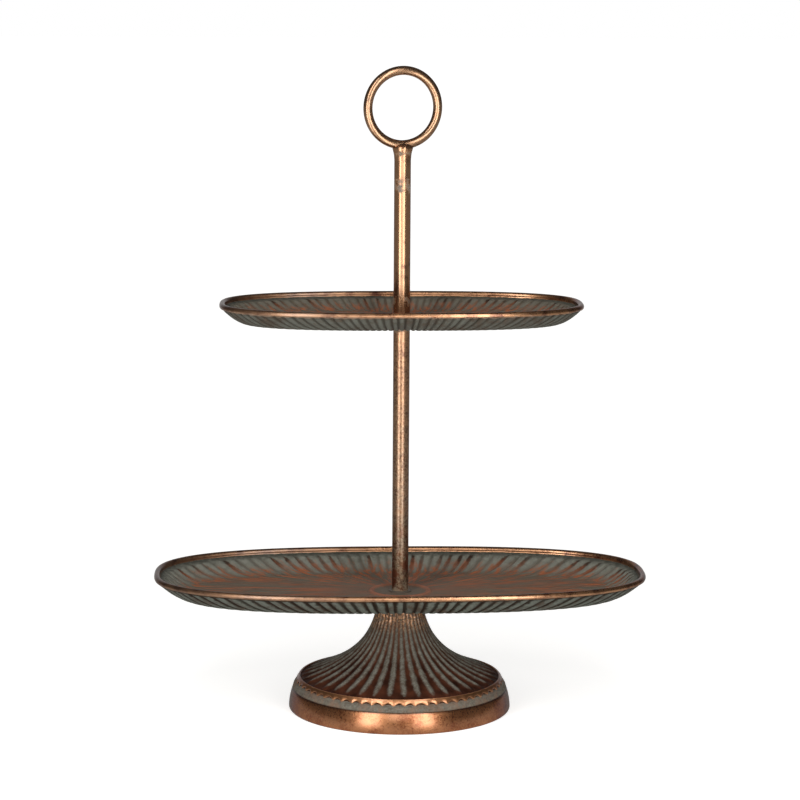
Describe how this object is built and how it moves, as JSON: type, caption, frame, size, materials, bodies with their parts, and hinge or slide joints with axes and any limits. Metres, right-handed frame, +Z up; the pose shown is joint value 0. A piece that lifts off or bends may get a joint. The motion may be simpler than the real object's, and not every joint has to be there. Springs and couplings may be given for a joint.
{
  "type": "two tier serving stand",
  "caption": "Two-tier serving stand: oval fluted dishes with beaded rims on a rod with a ring handle and a round fluted foot.",
  "frame": {"origin": "centre of the foot's base, on the surface that the stand rests on", "axes": "+Z up along the rod, +X along the long axis of the dishes, -Y towards the side in the picture"},
  "size_m": [0.3822, 0.1868, 0.5],
  "materials": {
    "patinated_casting": "cast, antique copper with grey-green paint brushed over it and rubbed back",
    "antique_copper": "antique copper, satin, darkened in the hollows",
    "zinc_plated_steel": "bright zinc plate"
  },
  "bodies": {
    "root": {"foot": "patinated_casting", "lower_dish": "patinated_casting", "upper_dish": "patinated_casting", "lower_tube": "antique_copper", "upper_tube": "antique_copper", "lower_tube_foot_plug": "zinc_plated_steel", "lower_tube_top_plug": "zinc_plated_steel", "upper_tube_plug": "zinc_plated_steel", "seat_washers": "patinated_casting", "joining_stud": "zinc_plated_steel", "foot_bolt": "zinc_plated_steel", "lock_washer": "zinc_plated_steel", "flat_washer": "zinc_plated_steel", "ring_handle": "antique_copper", "ring_weld": "antique_copper"}
  },
  "joints": []
}
